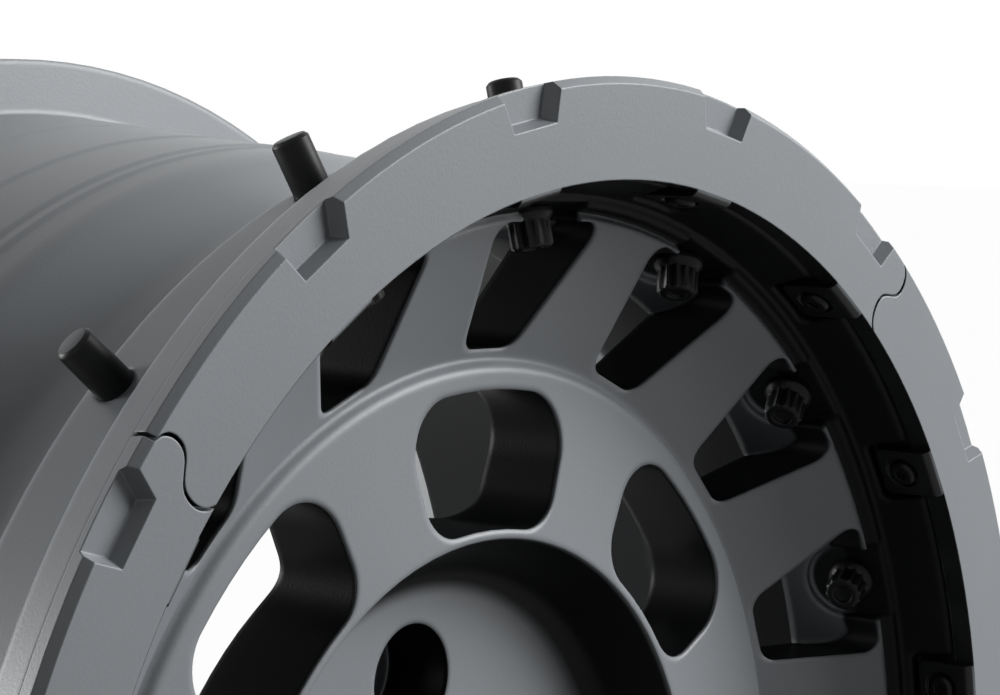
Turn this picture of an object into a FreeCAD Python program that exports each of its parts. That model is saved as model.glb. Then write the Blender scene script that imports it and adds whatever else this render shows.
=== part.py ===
import FreeCAD, Part
import math
import os

os.makedirs("parts", exist_ok=True)
V = FreeCAD.Vector

# Frame in millimetres: wheel axis along Y, street side towards -Y, +Z up, hub mounting face at y = 0.
# Depths are measured back from the front face of the ring.
hub_depth = 112.0
axis = V(0, 1, 0)

# Rim and barrel, with insets measured in from the flange radius
flange_front_depth = 7.0
flange_r = 246.0
flange_back_inset = 2.6
flange_back_depth = 20.4
flange_lean = 1.0
flange_edge_round = 2.5
flange_root_round = 6.0
seat_inset = 14.7
seat_end_inset = 17.4
seat_end_depth = 53.5
seat_end_round = 3.0
well_inset = 39.0
well_start_depth = 76.0
well_end_depth = 97.0
well_wall = 7.0
well_round = 14.0
shelf_inset = 23.7
shelf_depth = 126.0
shelf_round = 20.0
ridge_depths = [140.0, 147.0, 174.0, 211.0]
ridge_step = 0.7
ridge_run = 1.3
barrel_wall = 6.8
inner_shift = 4.0
throat_depth = 243.0
rear_root_depth = 249.0
rear_lean = 1.5
rear_flange_rise = 3.8
rear_depth = 262.5
bell_inset = 6.0

# Channel wall, rim ledge and spokes
channel_top_inset = 24.5
channel_gap = 2.0
wall_top_inset = 28.3
ledge_inset = 33.0
ledge_inner_inset = 36.1
ledge_depth = 26.0
groove_inset = 38.1
groove_depth = 30.2
spoke_top_inset = 40.1
spoke_top_depth = 28.3
spoke_foot_r = 162.5
spoke_foot_depth = 53.2
spoke_count = 16
disc_back_depth = 60.0
disc_back_foot_r = 163.0
disc_back_foot_depth = 77.0
window_angle = 3.02
window_inner_z = 165.4
window_inner_half = 11.8
window_outer_inset = 41.4
window_outer_half = 26.0
window_inner_round = 7.0
window_outer_round = 5.0
window_end_inset = 39.0
window_end_depth = 38.0
window_end_draft = math.radians(22.0)

# Hub disc
hub_face_r = 159.6
hub_face_depth = 50.2
hub_edge_round = 2.6
pocket_r = 108.4
pocket_depth = 46.8
floor_r = 96.5
floor_depth = 71.0
floor_round = 9.0
hub_pad_r = 82.0
hub_web_r = 116.0
hub_web_round = 10.0
bore_r = 35.8
hub_hole_count = 8
hub_hole_inner = 111.0
hub_hole_outer = 153.3
hub_hole_inner_half = 28.0
hub_hole_outer_half = 42.3
hub_hole_inner_round = 14.0
hub_hole_outer_round = 17.0
lug_count = 5
lug_pcd = 127.0
lug_angle = -3.5
lug_r = 7.25
lug_well_r = 17.5
lug_seat_r = 11.5
lug_seat_depth = 95.0

# Lock bolts, leaning back towards their tips
bolt_tilt = math.radians(15.0)
bolt_seat_inset = 38.5
bolt_seat_depth = 38.4
bolt_pin_r = 5.5
bolt_pin_len = 39.5
bolt_pin_chamfer = 1.0
bolt_flange_r = 8.0
bolt_flange_t = 3.0
bolt_points = 12
bolt_point_r = 6.1
bolt_valley_r = 5.3
bolt_head_t = 8.8
bolt_clearance = 0.15
slot_half = 13.9
slot_back = 1.5
slot_front = 30.0
slot_reach = 18.0

# Ring of four segments
ring_over = 1.6
ring_chamfer = 2.0
ring_chamfer_depth = 2.5
ring_back_in = 0.8
ring_width = 28.1
segment_count = 4
joint_angle = 41.6
joint_gap = 1.2
joint_bends = [(0.2, 1.0), (1.1, 0.877), (1.0, 0.635), (-0.67, 0.433), (-1.0, 0.245), (0.0, 0.0)]
tab_angle = 14.27
tab_half = 9.2
tab_inset = 30.6
tab_t = 2.7
tab_len = 21.0
tab_round = 3.0
tab_bend = 3.0
pad_side_gap = 2.8
pad_end_gap = 1.6
pad_clearance = 0.1
notch_inset = 9.8
notch_inner_half = 9.7
notch_outer_half = 12.9
notch_depth = 4.5
notch_slope = 1.6

# Ring screws
screw_depth = 12.3
screw_r = 2.5
screw_len = 12.0
screw_head_r = 4.75
screw_head_t = 2.75
screw_hole_clearance = 0.1
screw_pass_clearance = 0.25
screw_end_gap = 1.0
screw_sink_r = 6.0
screw_sink_t = 1.3

# How far a cutting body runs past what it cuts
overrun = 8.0

# Lengths below which points and distances count as equal
same_point = 1e-6
same_distance = 1e-3

# Radii that follow the flange
flange_back_r = flange_r - flange_back_inset
seat_r = flange_r - seat_inset
seat_end_r = flange_r - seat_end_inset
well_r = flange_r - well_inset
shelf_r = flange_r - shelf_inset
bell_r = flange_r - bell_inset
rear_flange_r = flange_r + rear_flange_rise
channel_top_r = flange_r - channel_top_inset
wall_top_r = flange_r - wall_top_inset
ledge_r = flange_r - ledge_inset
ledge_inner_r = flange_r - ledge_inner_inset
groove_r = flange_r - groove_inset
spoke_top_r = flange_r - spoke_top_inset
window_outer_z = flange_r - window_outer_inset
window_end_r = flange_r - window_end_inset
bolt_seat_r = flange_r - bolt_seat_inset
ring_inner_r = flange_r - ring_width
tab_inner_z = flange_r - tab_inset
notch_inner_z = flange_r - notch_inset


def at(depth):
    return depth - hub_depth


def rounded(points, place):
    # closed wire through corner points (a, b, radius), each corner rounded by its own radius
    edges = []
    ends = []
    count = len(points)
    for i in range(count):
        a, b, radius = points[i]
        corner = V(a, b, 0)
        back = V(points[i - 1][0], points[i - 1][1], 0).sub(corner)
        ahead = V(points[(i + 1) % count][0], points[(i + 1) % count][1], 0).sub(corner)
        back.normalize()
        ahead.normalize()
        if radius == 0:
            ends.append((corner, None, corner))
            continue
        half = back.getAngle(ahead) / 2
        reach = radius / math.tan(half)
        bisector = back.add(ahead)
        bisector.normalize()
        middle = corner.add(bisector * (radius / math.sin(half) - radius))
        ends.append((corner.add(back * reach), middle, corner.add(ahead * reach)))
    for i in range(count):
        start, middle, finish = ends[i]
        following = ends[(i + 1) % count][0]
        if middle is not None:
            edges.append(Part.Arc(place(start), place(middle), place(finish)).toShape())
        if finish.distanceToPoint(following) > same_point:
            edges.append(Part.LineSegment(place(finish), place(following)).toShape())
    return Part.Wire(Part.__sortEdges__(edges))


def revolved(points):
    # solid of revolution about the wheel axis from (radius, depth, corner radius)
    wire = rounded(points, lambda p: V(p.x, at(p.y), 0))
    return Part.Face(wire).revolve(V(0, 0, 0), axis, 360)


def turned(shape, angle):
    # copy turned clockwise about the wheel axis as seen from the street side
    copy = shape.copy()
    copy.rotate(V(0, 0, 0), axis, angle)
    return copy


def ring_of(shape, count, first):
    return [turned(shape, first + i * 360.0 / count) for i in range(count)]


def prism(points, front, back):
    # straight prism along the axis between two depths, outline in (sideways, outward)
    wire = rounded(points, lambda p: V(p.x, at(front), p.y))
    return Part.Face(wire).extrude(V(0, back - front, 0))


def edges_near(shape, along, centre_line, distance):
    # straight edges along a direction whose middle is at this distance from a line through the origin
    found = []
    for edge in shape.Edges:
        run = edge.Vertexes[-1].Point.sub(edge.Vertexes[0].Point)
        middle = edge.CenterOfMass
        off = middle.cross(centre_line).Length
        if run.Length > 0 and run.cross(along).Length < same_point and abs(off - distance) < same_distance:
            found.append(edge)
    return found


def lathe(points):
    # solid of revolution about local Z from (radius, height)
    wire = Part.makePolygon([V(r, 0, h) for r, h in points + points[:1]])
    return Part.Face(wire).revolve(V(0, 0, 0), V(0, 0, 1), 360)


def polygon_prism(corners, low, high):
    wire = Part.makePolygon([V(x, y, low) for x, y in corners + corners[:1]])
    return Part.Face(wire).extrude(V(0, 0, high - low))


ring_chamfer_r = flange_r + ring_over
ring_face_r = ring_chamfer_r - ring_chamfer
ring_back_r = ring_chamfer_r - ring_back_in
wall_back_r = well_r - well_wall

# Local frame of a lock bolt at the top of the wheel: its own Z runs outward along the bolt
bolt_place = FreeCAD.Placement(
    V(0, at(bolt_seat_depth), bolt_seat_r),
    FreeCAD.Rotation(V(1, 0, 0), -math.degrees(bolt_tilt)))
screw_place = FreeCAD.Placement(V(0, at(screw_depth), tab_inner_z + screw_sink_t), FreeCAD.Rotation())
tab_outer_z = tab_inner_z + tab_t
pad_floor_z = tab_outer_z + pad_clearance


def placed(shape, placement):
    copy = shape.copy()
    copy.Placement = placement.multiply(copy.Placement)
    return copy


# Wheel casting: rim, spokes and hub in one revolved body
barrel_rise = (seat_r - shelf_r) / (rear_root_depth - shelf_depth)
ridges = []
for ridge_depth in ridge_depths:
    ridge_r = shelf_r + (ridge_depth - shelf_depth) * barrel_rise
    ridges.append((ridge_r - ridge_step / 2, ridge_depth, 0))
    ridges.append((ridge_r + ridge_step / 2, ridge_depth + ridge_run, 0))
front_profile = [
    (wall_top_r, flange_front_depth + channel_gap, 0),
    (channel_top_r, flange_front_depth, 0),
    (flange_r, flange_front_depth, 0),
    (flange_back_r, flange_back_depth, flange_edge_round),
    (seat_r, flange_back_depth + flange_lean, flange_root_round),
    (seat_end_r, seat_end_depth, seat_end_round),
    (well_r, well_start_depth, well_round),
    (well_r, well_end_depth, well_round),
    (shelf_r, shelf_depth, shelf_round),
]
rear_profile = [
    (seat_r, rear_root_depth, 0),
    (rear_flange_r, rear_root_depth + rear_lean, 0),
    (rear_flange_r, rear_depth, 0),
    (bell_r, rear_depth, 0),
    (seat_r - barrel_wall, throat_depth, 0),
    (shelf_r - barrel_wall, shelf_depth + inner_shift, shelf_round),
    (wall_back_r, well_end_depth + inner_shift, well_round),
    (wall_back_r, disc_back_depth, 0),
    (disc_back_foot_r, disc_back_foot_depth, 0),
    (hub_web_r, disc_back_foot_depth, hub_web_round),
    (hub_pad_r, hub_depth, 0),
    (bore_r, hub_depth, 0),
    (bore_r, floor_depth, 0),
    (floor_r, floor_depth, floor_round),
    (pocket_r, pocket_depth, 0),
    (hub_face_r, hub_face_depth, hub_edge_round),
    (spoke_foot_r, spoke_foot_depth, 0),
    (spoke_top_r, spoke_top_depth, 0),
    (groove_r, groove_depth, 0),
    (ledge_inner_r, ledge_depth, 0),
    (ledge_r, ledge_depth, 0),
]
casting = revolved(front_profile + ridges + rear_profile)

# Window between two spokes, its outer end drafted so that the barrel keeps its wall
window_prism = prism([
    (-window_inner_half, window_inner_z, window_inner_round),
    (window_inner_half, window_inner_z, window_inner_round),
    (window_outer_half, window_outer_z, window_outer_round),
    (-window_outer_half, window_outer_z, window_outer_round),
], 0, hub_depth)
window_end = revolved([
    (window_end_r, window_end_depth, 0),
    (flange_r, window_end_depth, 0),
    (flange_r, rear_depth, 0),
    (window_end_r - (rear_depth - window_end_depth) * math.tan(window_end_draft), rear_depth, 0),
])
window = window_prism.cut(window_end)

# Hub hole: straight sides, ends that run round the axis, rounded corners
hub_hole_slope = (hub_hole_outer_half - hub_hole_inner_half) / (hub_hole_outer - hub_hole_inner)
hub_hole_spread = hub_hole_slope * overrun
hub_hole_wedge = prism([
    (hub_hole_spread - hub_hole_inner_half, hub_hole_inner - overrun, 0),
    (hub_hole_inner_half - hub_hole_spread, hub_hole_inner - overrun, 0),
    (hub_hole_outer_half + hub_hole_spread, hub_hole_outer + overrun, 0),
    (-hub_hole_outer_half - hub_hole_spread, hub_hole_outer + overrun, 0),
], 0, hub_depth)
hub_hole_band = revolved([
    (hub_hole_inner, 0, 0),
    (hub_hole_outer, 0, 0),
    (hub_hole_outer, hub_depth, 0),
    (hub_hole_inner, hub_depth, 0),
])
hub_hole = hub_hole_wedge.common(hub_hole_band)
hub_hole_corners = [(hub_hole_inner, hub_hole_inner_round), (hub_hole_outer, hub_hole_outer_round)]
for corner_r, corner_round in hub_hole_corners:
    hub_hole = hub_hole.makeFillet(corner_round, edges_near(hub_hole, axis, axis, corner_r))

# Bolt slot: rounded at the back, open to the front, its floor square to the bolt
slot_sides = [
    Part.LineSegment(V(slot_half, slot_back, 0), V(slot_half, -slot_front, 0)),
    Part.LineSegment(V(slot_half, -slot_front, 0), V(-slot_half, -slot_front, 0)),
    Part.LineSegment(V(-slot_half, -slot_front, 0), V(-slot_half, slot_back, 0)),
    Part.Arc(V(-slot_half, slot_back, 0), V(0, slot_back + slot_half, 0), V(slot_half, slot_back, 0)),
]
slot_wire = Part.Wire([side.toShape() for side in slot_sides])
slot = placed(Part.Face(slot_wire).extrude(V(0, 0, -slot_reach)), bolt_place)
bolt_hole = Part.makeCylinder(bolt_pin_r + bolt_clearance, bolt_pin_len + overrun, V(0, 0, -overrun))
bolt_hole = placed(bolt_hole, bolt_place)

# Pad: flat seat for one ring tab, open to the front and to the axis
pad_half = tab_half + pad_side_gap
pad_wire = rounded([
    (-pad_half, 0, 0),
    (pad_half, 0, 0),
    (pad_half, tab_len + pad_end_gap, tab_round),
    (-pad_half, tab_len + pad_end_gap, tab_round),
], lambda p: V(p.x, at(p.y), pad_floor_z))
pad = Part.Face(pad_wire).extrude(V(0, 0, -overrun))
tapped_hole = Part.makeCylinder(screw_r + screw_hole_clearance, screw_len + screw_end_gap)
tapped_hole = placed(tapped_hole, screw_place)

lug_well = Part.makeCylinder(lug_well_r, lug_seat_depth, V(0, at(0), lug_pcd / 2), axis)
lug_cone = Part.makeCone(lug_seat_r, lug_r, lug_seat_r - lug_r, V(0, at(lug_seat_depth), lug_pcd / 2), axis)
lug_hole = Part.makeCylinder(lug_r, hub_depth, V(0, at(lug_seat_depth), lug_pcd / 2), axis)
lug = lug_well.fuse([lug_cone, lug_hole])

cutters = ring_of(window, spoke_count, window_angle)
cutters += ring_of(slot, spoke_count, window_angle)
cutters += ring_of(bolt_hole, spoke_count, window_angle)
cutters += ring_of(hub_hole, hub_hole_count, window_angle)
cutters += ring_of(pad, spoke_count, tab_angle)
cutters += ring_of(tapped_hole, spoke_count, tab_angle)
cutters += ring_of(lug, lug_count, lug_angle)
casting = casting.cut(cutters)
casting.exportStep("parts/wheel_casting.step")

# Ring: one profile turned about the axis, then tabs, notches and holes
plate = revolved([
    (ring_inner_r, 0, 0),
    (ring_face_r, 0, 0),
    (ring_chamfer_r, ring_chamfer_depth, 0),
    (ring_back_r, flange_front_depth, 0),
    (ring_inner_r, flange_front_depth, 0),
])
# Tab: bent back from the plate's inner edge, its free corners rounded
tab_wire = rounded([
    (tab_inner_z, 0, tab_bend),
    (tab_inner_z, tab_len, 0),
    (tab_outer_z, tab_len, 0),
    (tab_outer_z, flange_front_depth, 0),
    (ring_inner_r + tab_t, flange_front_depth, 0),
    (ring_inner_r + tab_t, 0, 0),
], lambda p: V(-tab_half, at(p.y), p.x))
tab = Part.Face(tab_wire).extrude(V(2 * tab_half, 0, 0))
tab_end = math.hypot(tab_half, at(tab_len))
tab = tab.makeFillet(tab_round, edges_near(tab, V(0, 0, 1), V(0, 0, 1), tab_end))


def notch_outline(inset, depth):
    inner = notch_inner_z + inset
    outer = ring_chamfer_r + overrun
    spread = (notch_outer_half - notch_inner_half) / (ring_face_r - notch_inner_z)
    half_in = notch_inner_half - inset
    half_out = half_in + (outer - inner) * spread
    y = at(depth)
    corners = [V(-half_in, y, inner), V(half_in, y, inner), V(half_out, y, outer), V(-half_out, y, outer)]
    return Part.makePolygon(corners + corners[:1])


notch = Part.makeLoft([notch_outline(0, 0), notch_outline(notch_slope, notch_depth)], True, True)
screw_sink = placed(Part.makeCylinder(screw_sink_r, overrun, V(0, 0, -overrun)), screw_place)
screw_pass = Part.makeCylinder(screw_r + screw_pass_clearance, 2 * overrun, V(0, 0, -overrun))
screw_pass = placed(screw_pass, screw_place)

ring = plate.fuse(ring_of(tab, spoke_count, tab_angle))
ring_cutters = ring_of(notch, spoke_count, tab_angle)
ring_cutters += ring_of(screw_sink, spoke_count, tab_angle)
ring_cutters += ring_of(screw_pass, spoke_count, tab_angle)
ring = ring.cut(ring_cutters).removeSplitter()


def polar(angle, radius):
    turn = math.radians(angle)
    return V(radius * math.sin(turn), at(0), radius * math.cos(turn))


def joint_edge(angle):
    # S-shaped end line of a segment, run out straight past both edges of the ring
    width = ring_face_r - ring_inner_r
    bends = [polar(angle + offset, ring_inner_r + share * width) for offset, share in joint_bends]
    curve = Part.BSplineCurve()
    curve.interpolate(bends)
    outside = polar(angle + joint_bends[0][0], ring_chamfer_r + overrun)
    inside = polar(angle + joint_bends[-1][0], tab_inner_z - overrun)
    return outside, bends[0], curve, bends[-1], inside


gap_angle = math.degrees(joint_gap / 2 / ring_back_r)
span = 360.0 / segment_count
for k in range(segment_count):
    low = joint_edge(joint_angle + k * span + gap_angle)
    high = joint_edge(joint_angle + (k + 1) * span - gap_angle)
    middle = joint_angle + (k + 0.5) * span
    outer_arc = Part.Arc(low[0], polar(middle, ring_chamfer_r + overrun), high[0])
    inner_arc = Part.Arc(low[4], polar(middle, tab_inner_z - overrun), high[4])
    border = [outer_arc.toShape(), inner_arc.toShape()]
    for edge in (low, high):
        border.append(Part.LineSegment(edge[0], edge[1]).toShape())
        border.append(edge[2].toShape())
        border.append(Part.LineSegment(edge[3], edge[4]).toShape())
    sector = Part.Face(Part.Wire(Part.__sortEdges__(border))).extrude(V(0, tab_len + overrun, 0))
    segment = ring.common(sector)
    segment.exportStep("parts/ring_segment_%d.step" % (k + 1))

# Ring screw, pointing outward from the tab
screw = lathe([
    (0, -screw_head_t),
    (screw_head_r, -screw_head_t),
    (screw_head_r, 0),
    (screw_r, 0),
    (screw_r, screw_len),
    (0, screw_len),
])
screws = ring_of(placed(screw, screw_place), spoke_count, tab_angle)
Part.makeCompound(screws).exportStep("parts/ring_screws.step")

# Lock bolt: twelve-point head, flange and plain pin
star = []
for i in range(2 * bolt_points):
    radius = bolt_valley_r if i % 2 else bolt_point_r
    turn = math.pi * i / bolt_points
    star.append((radius * math.cos(turn), radius * math.sin(turn)))
bolt_head = polygon_prism(star, -bolt_flange_t - bolt_head_t, -bolt_flange_t)
bolt_body = lathe([
    (0, bolt_pin_len),
    (bolt_pin_r - bolt_pin_chamfer, bolt_pin_len),
    (bolt_pin_r, bolt_pin_len - bolt_pin_chamfer),
    (bolt_pin_r, 0),
    (bolt_flange_r, 0),
    (bolt_flange_r, -bolt_flange_t),
    (0, -bolt_flange_t),
])
bolts = ring_of(placed(bolt_body.fuse(bolt_head), bolt_place), spoke_count, window_angle)
Part.makeCompound(bolts).exportStep("parts/lock_bolts.step")
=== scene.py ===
# Off-road alloy wheel with bead-lock bolts and a guard ring, in a plain white studio
import math

import bmesh
import bpy
from mathutils import Matrix, Vector


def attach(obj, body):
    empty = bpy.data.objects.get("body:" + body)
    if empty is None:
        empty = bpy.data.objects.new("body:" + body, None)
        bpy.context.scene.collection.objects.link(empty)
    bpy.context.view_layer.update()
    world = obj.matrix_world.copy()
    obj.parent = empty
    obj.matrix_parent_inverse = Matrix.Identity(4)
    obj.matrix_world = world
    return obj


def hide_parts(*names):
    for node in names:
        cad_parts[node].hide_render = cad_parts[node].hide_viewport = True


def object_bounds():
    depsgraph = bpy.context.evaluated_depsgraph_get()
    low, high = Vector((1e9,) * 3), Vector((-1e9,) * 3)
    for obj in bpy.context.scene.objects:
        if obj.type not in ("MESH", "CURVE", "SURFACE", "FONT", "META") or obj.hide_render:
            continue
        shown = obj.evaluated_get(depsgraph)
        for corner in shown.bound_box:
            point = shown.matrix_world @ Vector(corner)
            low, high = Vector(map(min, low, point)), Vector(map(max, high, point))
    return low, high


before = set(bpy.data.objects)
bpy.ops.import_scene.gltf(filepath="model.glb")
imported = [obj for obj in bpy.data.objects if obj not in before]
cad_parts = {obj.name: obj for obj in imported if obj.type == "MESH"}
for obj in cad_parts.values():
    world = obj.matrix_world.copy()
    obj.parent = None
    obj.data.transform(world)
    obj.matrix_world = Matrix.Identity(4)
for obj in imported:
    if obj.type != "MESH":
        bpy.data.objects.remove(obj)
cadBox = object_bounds()
scene = bpy.context.scene
print("loaded", len(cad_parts), "CAD nodes")

# socket numbers of the Mix node, whose names repeat for each data type
mixVectorA, mixVectorB, mixVectorOut = 4, 5, 1
mixColourA, mixColourB, mixColourOut = 6, 7, 2
# edges sharper than this stay sharp in the shading
castSharpAngle = math.radians(25)
turnedSharpAngle = math.radians(38)


def hexColour(code):
    # sRGB hex to linear RGBA
    channels = [int(code[i:i + 2], 16) / 255 for i in (1, 3, 5)]
    linear = [c / 12.92 if c <= 0.04045 else ((c + 0.055) / 1.055) ** 2.4 for c in channels]
    return (*linear, 1.0)


def addNode(tree, kind, links=(), **settings):
    # new node; settings are properties or named sockets, links are (socket, source socket or plain value)
    node = tree.nodes.new(kind)
    for name, value in settings.items():
        if hasattr(node, name):
            setattr(node, name, value)
        else:
            node.inputs[name.replace("_", " ")].default_value = value
    for socket, source in links:
        if isinstance(source, bpy.types.NodeSocket):
            tree.links.new(source, node.inputs[socket])
        else:
            node.inputs[socket].default_value = source
    return node


def calculate(tree, operation, *terms):
    # result of one Math node
    return addNode(tree, "ShaderNodeMath", enumerate(terms), operation=operation).outputs[0]


def newMaterial(name):
    material = bpy.data.materials.new(name)
    material.use_nodes = True
    tree = material.node_tree
    tree.nodes.clear()
    return material, tree


def perMetre(millimetres):
    # noise scale that gives features of this size
    return 1000 / millimetres


def beadRings(profile, sides, outline):
    # rings of points (mm) about the local Z axis from (height, radius, kind)
    rings = []
    for height, radius, kind in profile:
        turns = [2 * math.pi * i / sides for i in range(sides)]
        reach = [radius if kind == "round" else min(radius, outline(t)) for t in turns]
        rings.append([(r * math.cos(t), r * math.sin(t), height) for r, t in zip(reach, turns)])
    return rings


def patternedPiece(name, rings, places):
    # one mesh with a closed copy of the rings' skin at each place; the far end is for a second material
    build = bmesh.new()
    for place in places:
        loops = [[build.verts.new(place @ Vector(p)) for p in ring] for ring in rings]
        for near, far in zip(loops, loops[1:]):
            for i in range(len(near)):
                build.faces.new((near[i - 1], near[i], far[i], far[i - 1]))
        build.faces.new(loops[0])
        build.faces.new(loops[-1]).material_index = 1
    bmesh.ops.recalc_face_normals(build, faces=build.faces)
    mesh = bpy.data.meshes.new(name)
    build.to_mesh(mesh)
    build.free()
    mesh.shade_smooth()
    mesh.set_sharp_from_angle(angle=turnedSharpAngle)
    piece = bpy.data.objects.new(name, mesh)
    scene.collection.objects.link(piece)
    return piece


def aroundAxle(look):
    # places of a repeated piece, its own Z pointing outward and leaning back
    seat = Matrix.Translation((0, look["seatY"] / 1000, look["seatR"] / 1000))
    lean = Matrix.Rotation(-math.radians(look["lean"]), 4, "X")
    turns = [math.radians(look["firstAngle"] + 360 * i / look["count"]) for i in range(look["count"])]
    return [Matrix.Rotation(t, 4, "Y") @ seat @ lean @ Matrix.Scale(0.001, 4) for t in turns]


def polygonReach(flats, corners):
    # outline of crossed hexagons (12 corners) or one hexagon (6)
    step = 2 * math.pi / corners

    def reach(turn):
        off = abs((turn + step / 2) % step - step / 2)
        return flats / 2 / math.cos(math.pi / 6 - off)
    return reach


def fastener(name, look):
    rings = beadRings(look["profile"], look["sides"], polygonReach(look["flats"], look["corners"]))
    return patternedPiece(name, rings, aroundAxle(look))


# lock bolt: double-hexagon head with a hollowed end, washer flange, plain pin with a bevelled tip
lockBolt = {
    "count": 16, "firstAngle": 3.02, "seatY": -73.6, "seatR": 207.5, "lean": 15.0,
    "flats": 11.2, "corners": 12, "sides": 96,
    "profile": [
        (-10.7, 2.3, "round"), (-10.8, 2.9, "round"), (-11.65, 3.2, "round"), (-11.8, 3.45, "round"),
        (-11.8, 5.0, "star"), (-11.5, 5.7, "star"), (-10.9, 6.6, "star"), (-4.0, 6.6, "star"),
        (-3.5, 6.7, "round"), (-2.9, 7.2, "round"), (-2.1, 7.8, "round"), (-1.7, 7.97, "round"),
        (-1.4, 8.0, "round"), (-0.25, 8.0, "round"), (0.0, 7.8, "round"), (0.0, 5.5, "round"),
        (20.0, 5.5, "round"), (38.3, 5.5, "round"), (38.55, 5.42, "round"), (39.4, 4.62, "round"),
        (39.5, 4.4, "round"),
    ],
}
lockBolts = fastener("lockBolts", lockBolt)

# ring screw: button head with a hexagon socket, its top facing the axle
ringScrew = {
    "count": 16, "firstAngle": 14.27, "seatY": -99.7, "seatR": 216.7, "lean": 0.0,
    "flats": 3.4, "corners": 6, "sides": 48,
    "profile": [
        (-1.15, 0.8, "star"), (-1.25, 1.9, "star"), (-2.6, 2.1, "star"), (-2.75, 2.25, "round"),
        (-2.75, 3.3, "round"), (-2.6, 3.85, "round"), (-2.2, 4.4, "round"), (-1.7, 4.68, "round"),
        (-1.2, 4.75, "round"), (-0.1, 4.75, "round"), (0.0, 4.65, "round"), (0.0, 2.5, "round"),
        (11.6, 2.5, "round"), (12.0, 2.1, "round"),
    ],
}
ringScrews = fastener("ringScrews", ringScrew)

replacements = [(lockBolts, "lock_bolts", "black_bolts"), (ringScrews, "ring_screws", "black_screws")]
for piece, node, slotName in replacements:
    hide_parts(node)
    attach(piece, "root")
print("bolts and screws built")


def paintedRecessShade(tree, place, edge, look):
    # mask of painted shade: 0 on open faces, 1 on walls that face the axle or sideways
    spot = addNode(tree, "ShaderNodeSeparateXYZ", [("Vector", place.outputs["Object"])])
    spoke = addNode(tree, "ShaderNodeCombineXYZ", [("X", spot.outputs["X"]), ("Z", spot.outputs["Z"])])
    length = addNode(tree, "ShaderNodeVectorMath", [(0, spoke.outputs["Vector"])], operation="LENGTH")
    radius = length.outputs["Value"]
    depth = spot.outputs["Y"]
    outward = addNode(tree, "ShaderNodeVectorMath", [(0, spoke.outputs["Vector"])], operation="NORMALIZE")
    lean = addNode(tree, "ShaderNodeVectorMath", operation="DOT_PRODUCT",
                   links=[(0, outward.outputs["Vector"]), (1, place.outputs["Normal"])])
    inward = calculate(tree, "LESS_THAN", lean.outputs["Value"], look["outwardLimit"])
    core = calculate(tree, "LESS_THAN", radius, look["coreRadius"])
    hidden = calculate(tree, "MAXIMUM", inward, core)

    # soft edges count as face only in front of this depth
    behind = calculate(tree, "GREATER_THAN", depth, look["softEnd"])
    normal = addNode(tree, "ShaderNodeMix", data_type="VECTOR", links=[
        ("Factor", behind), (mixVectorA, edge.outputs["Normal"]), (mixVectorB, place.outputs["Normal"])])
    facing = addNode(tree, "ShaderNodeSeparateXYZ", [("Vector", normal.outputs[mixVectorOut])])
    slant = calculate(tree, "ABSOLUTE", facing.outputs["Y"])
    # past a radius only the steepest walls count
    beyond = calculate(tree, "GREATER_THAN", radius, look["recessRadius"])
    steep = calculate(tree, "MULTIPLY_ADD", beyond, look["beyondShift"], slant)
    wall = addNode(tree, "ShaderNodeMapRange", [("Value", steep)], interpolation_type="SMOOTHSTEP",
                   From_Min=look["wallSlant"], From_Max=look["faceSlant"], To_Min=1.0, To_Max=0.0)
    shade = calculate(tree, "MULTIPLY", wall.outputs["Result"], hidden)
    # the painted shade is a little weaker on the barrel's inside
    share = addNode(tree, "ShaderNodeMapRange", [("Value", depth)], From_Min=look["bandEnd"],
                    From_Max=look["barrelStart"], To_Min=1.0, To_Max=look["barrelShare"])
    shade = calculate(tree, "MULTIPLY", shade, share.outputs["Result"])

    # bands of radius on the front that are painted dark as shade
    front = calculate(tree, "LESS_THAN", depth, look["bandEnd"])
    ahead = calculate(tree, "MULTIPLY", front, inward)
    for inner, innerEnd, outerEnd, outer in look["bands"]:
        rise = addNode(tree, "ShaderNodeMapRange", [("Value", radius)], interpolation_type="SMOOTHSTEP",
                       From_Min=inner, From_Max=innerEnd)
        fall = addNode(tree, "ShaderNodeMapRange", [("Value", radius)], interpolation_type="SMOOTHSTEP",
                       From_Min=outer, From_Max=outerEnd)
        band = calculate(tree, "MULTIPLY", rise.outputs["Result"], fall.outputs["Result"])
        shade = calculate(tree, "MAXIMUM", shade, calculate(tree, "MULTIPLY", band, ahead))
    return shade


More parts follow.
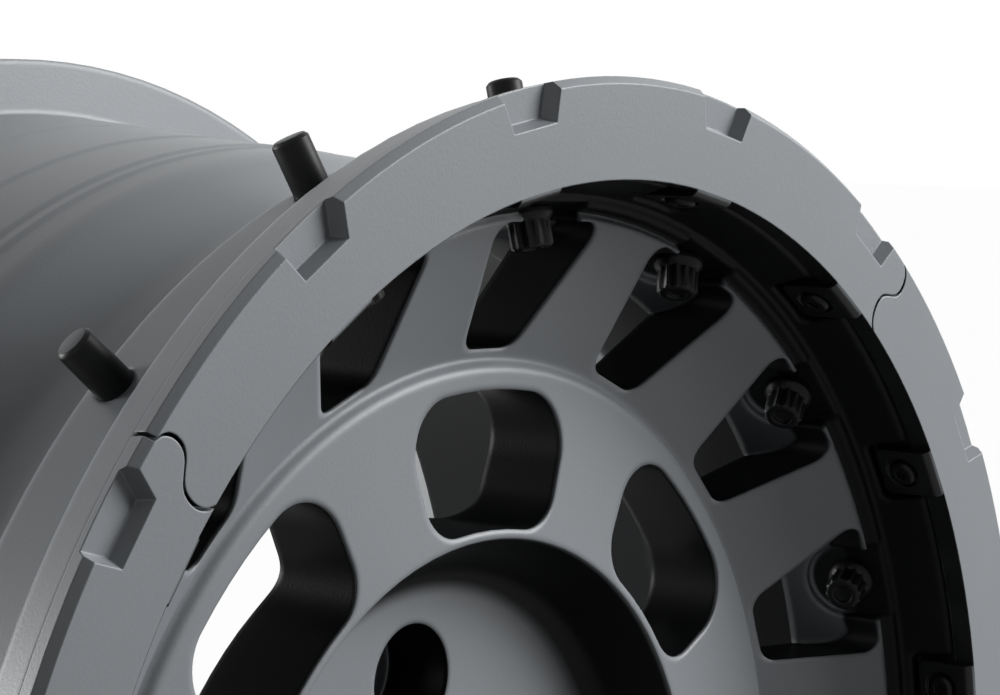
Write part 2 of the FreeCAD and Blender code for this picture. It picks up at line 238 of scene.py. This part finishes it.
def finishMaterial(name, look):
    # two close tones in slow clouds, fine grain, softened edges; walls of the recesses are painted near
    # black as shade, with less gloss
    material, tree = newMaterial(name)
    place = addNode(tree, "ShaderNodeTexCoord")
    edge = addNode(tree, "ShaderNodeBevel", samples=look["edgeSamples"], Radius=look["edgeMm"] / 1000)
    cloud = addNode(tree, "ShaderNodeTexNoise", [("Vector", place.outputs["Object"])],
                    Scale=perMetre(look["cloudMm"]), Detail=look["cloudDetail"])
    tint = addNode(tree, "ShaderNodeMix", data_type="RGBA", links=[
        ("Factor", cloud.outputs["Fac"]), (mixColourA, hexColour(look["dark"])),
        (mixColourB, hexColour(look["light"]))])
    colour = tint.outputs[mixColourOut]
    gloss = look["gloss"]
    # painted shade: recess walls are mixed toward a near-black tone and their gloss is lowered
    if "recess" in look:
        shade = paintedRecessShade(tree, place, edge, look)
        deep = addNode(tree, "ShaderNodeMix", data_type="RGBA", links=[
            ("Factor", shade), (mixColourA, colour), (mixColourB, hexColour(look["recess"]))])
        colour = deep.outputs[mixColourOut]
        dull = addNode(tree, "ShaderNodeMapRange", [("Value", shade)],
                       To_Min=look["gloss"], To_Max=look["recessGloss"])
        gloss = dull.outputs["Result"]
    grain = addNode(tree, "ShaderNodeTexNoise", [("Vector", place.outputs["Object"])],
                    Scale=perMetre(look["grainMm"]), Detail=look["grainDetail"])
    bump = addNode(tree, "ShaderNodeBump",
                   [("Height", grain.outputs["Fac"]), ("Normal", edge.outputs["Normal"])],
                   Strength=look["grainStrength"], Distance=look["grainMm"] / 1000)
    shader = addNode(tree, "ShaderNodeBsdfPrincipled", Roughness=look["roughness"], links=[
        ("Base Color", colour), ("Specular IOR Level", gloss), ("Normal", bump.outputs["Normal"])])
    addNode(tree, "ShaderNodeOutputMaterial", [("Surface", shader.outputs["BSDF"])])
    return material


# graphite powder coat with satin faces; walls facing the axle or sideways are painted near black as shade
powderCoat = {
    "dark": "#777b7f", "light": "#7e8286", "roughness": 0.42, "gloss": 0.4,
    "cloudMm": 60, "cloudDetail": 3.0, "grainMm": 0.9, "grainDetail": 2.0, "grainStrength": 0.05,
    "edgeMm": 3.0, "edgeSamples": 8,
    # painted shade: tone and gloss of the recess walls
    "recess": "#0c0d0e", "recessGloss": 0.06,
    "recessRadius": 1.0, "beyondShift": 0.0, "outwardLimit": 0.35, "coreRadius": 0.2,
    "wallSlant": 0.2, "faceSlant": 0.45, "softEnd": -0.056,
    "bandEnd": -0.038, "barrelStart": -0.015, "barrelShare": 0.95,
    # painted shade in the hub pocket's corner and in the channel
    "bands": ((0.0875, 0.0935, 0.1075, 0.1088), (0.2055, 0.208, 0.219, 0.2195)),    # pocket corner, channel
}
# the same coat on plate: crisper edges; the tabs, the inner edge and the joints are painted near black as
# shade
platedCoat = dict(powderCoat, edgeMm=0.7, recessRadius=0.2195, beyondShift=0.66, wallSlant=0.85,
                  faceSlant=0.99, recessGloss=0.2, bands=())
# black oxide on turned steel: near black, with a dull gloss that catches the edges
blackOxide = {
    "dark": "#0a0b0c", "light": "#131416", "roughness": 0.42, "gloss": 0.12,
    "cloudMm": 5, "cloudDetail": 3.0, "grainMm": 0.5, "grainDetail": 2.0, "grainStrength": 0.05,
    "edgeMm": 0.3, "edgeSamples": 8,
}
# a flat mid-grey end on a black pin
greyPinEnd = dict(blackOxide, dark="#56585a", light="#66686a", roughness=0.5)

coat = finishMaterial("graphite powder coat on cast alloy", powderCoat)
ringCoat = finishMaterial("graphite powder coat on milled plate", platedCoat)
oxide = finishMaterial("black oxide on turned steel", blackOxide)
pinEndFinish = finishMaterial("mid grey on the pin's flat end", greyPinEnd)
nodeFinish = {"wheel_casting": coat, "ring_screws": oxide, "lock_bolts": oxide}
for nodeName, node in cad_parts.items():
    for slot in node.material_slots:
        slot.material = nodeFinish.get(nodeName, ringCoat)
    node.data.shade_smooth()
    node.data.set_sharp_from_angle(angle=castSharpAngle)
for piece in (lockBolts, ringScrews):
    piece.data.materials.append(oxide)
    piece.data.materials.append(pinEndFinish)
print("materials on", len(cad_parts), "nodes")

studio = {
    "floorZ": cadBox[0][2] - 0.0005,
    "floorSize": 14.0,
    "floorColour": "#5c5c5c",
    "floorLift": 0.98,      # share of plain white that the camera sees on the floor
    "worldStrength": 0.02,
}
studioLights = {
    "keyLight": {"place": (2.04, -1.71, 1.38), "size": 1.5, "power": 131},
    "fillLight": {"place": (-2.4, -0.5, 1.0), "size": 0.8, "power": 2},
    "topLight": {"place": (2.2, 1.0, 1.6), "size": 1.6, "power": 3},
    "backLight": {"place": (-1.0, 2.8, 0.2), "size": 1.0, "power": 75},
}
for lightName, look in studioLights.items():
    lamp = bpy.data.lights.new(lightName, "AREA")
    lamp.shape = "SQUARE"
    lamp.size = look["size"]
    lamp.energy = look["power"]
    holder = bpy.data.objects.new(lightName, lamp)
    holder.location = look["place"]
    # aimed at the wheel's middle, the origin
    holder.rotation_euler = (-Vector(look["place"])).to_track_quat("-Z", "Y").to_euler()
    scene.collection.objects.link(holder)


def seenDirectly(tree):
    # 1 for what the camera sees, straight or in metal and glass
    rays = addNode(tree, "ShaderNodeLightPath")
    seen = calculate(tree, "MAXIMUM", rays.outputs["Is Camera Ray"], rays.outputs["Is Glossy Ray"])
    return calculate(tree, "MAXIMUM", seen, rays.outputs["Is Transmission Ray"])


half = studio["floorSize"] / 2
floorMesh = bpy.data.meshes.new("studioFloor")
floorCorners = ((-half, -half), (half, -half), (half, half), (-half, half))
floorMesh.from_pydata([(x, y, studio["floorZ"]) for x, y in floorCorners], [], [(0, 1, 2, 3)])
floor = bpy.data.objects.new("studioFloor", floorMesh)
scene.collection.objects.link(floor)
# matt paper, lifted to white where it is seen
paper, paperTree = newMaterial("matt white studio paper")
paperLift = calculate(paperTree, "MULTIPLY", seenDirectly(paperTree), studio["floorLift"])
paperMatt = addNode(paperTree, "ShaderNodeBsdfDiffuse", Color=hexColour(studio["floorColour"]))
paperWhite = addNode(paperTree, "ShaderNodeEmission", Strength=1.0)
paperMix = addNode(paperTree, "ShaderNodeMixShader", [
    (0, paperLift), (1, paperMatt.outputs["BSDF"]), (2, paperWhite.outputs["Emission"])])
addNode(paperTree, "ShaderNodeOutputMaterial", [("Surface", paperMix.outputs["Shader"])])
floorMesh.materials.append(paper)

world = bpy.data.worlds.new("studioWorld")
world.use_nodes = True
scene.world = world
worldTree = world.node_tree
worldTree.nodes.clear()
strength = addNode(worldTree, "ShaderNodeMapRange", [("Value", seenDirectly(worldTree))],
                   To_Min=studio["worldStrength"], To_Max=1.0)
white = addNode(worldTree, "ShaderNodeBackground", [("Strength", strength.outputs["Result"])],
                Color=(1, 1, 1, 1))
addNode(worldTree, "ShaderNodeOutputWorld", [("Surface", white.outputs["Background"])])
print("studio lit")

photoCamera = {
    "place": (-0.70260, -0.62999, 0.26742),
    "yaw": 51.562,      # degrees from the wheel axis
    "pitch": 6.375,     # degrees down
    "lens": 110.0,
    "sensor": 36.0,
    "clipEnd": 50,
}
yaw = math.radians(photoCamera["yaw"])
pitch = math.radians(photoCamera["pitch"])
ahead = Vector((math.sin(yaw) * math.cos(pitch), math.cos(yaw) * math.cos(pitch), -math.sin(pitch)))
side = ahead.cross(Vector((0, 0, 1))).normalized()
above = side.cross(ahead)
turn = Matrix((side, above, -ahead)).transposed().to_4x4()
lensData = bpy.data.cameras.new("photoCamera")
lensData.lens = photoCamera["lens"]
lensData.sensor_width = photoCamera["sensor"]
lensData.clip_end = photoCamera["clipEnd"]
camera = bpy.data.objects.new("photoCamera", lensData)
camera.matrix_world = Matrix.Translation(photoCamera["place"]) @ turn
scene.collection.objects.link(camera)
scene.camera = camera
scene.view_settings.view_transform = "Standard"
print("camera set")
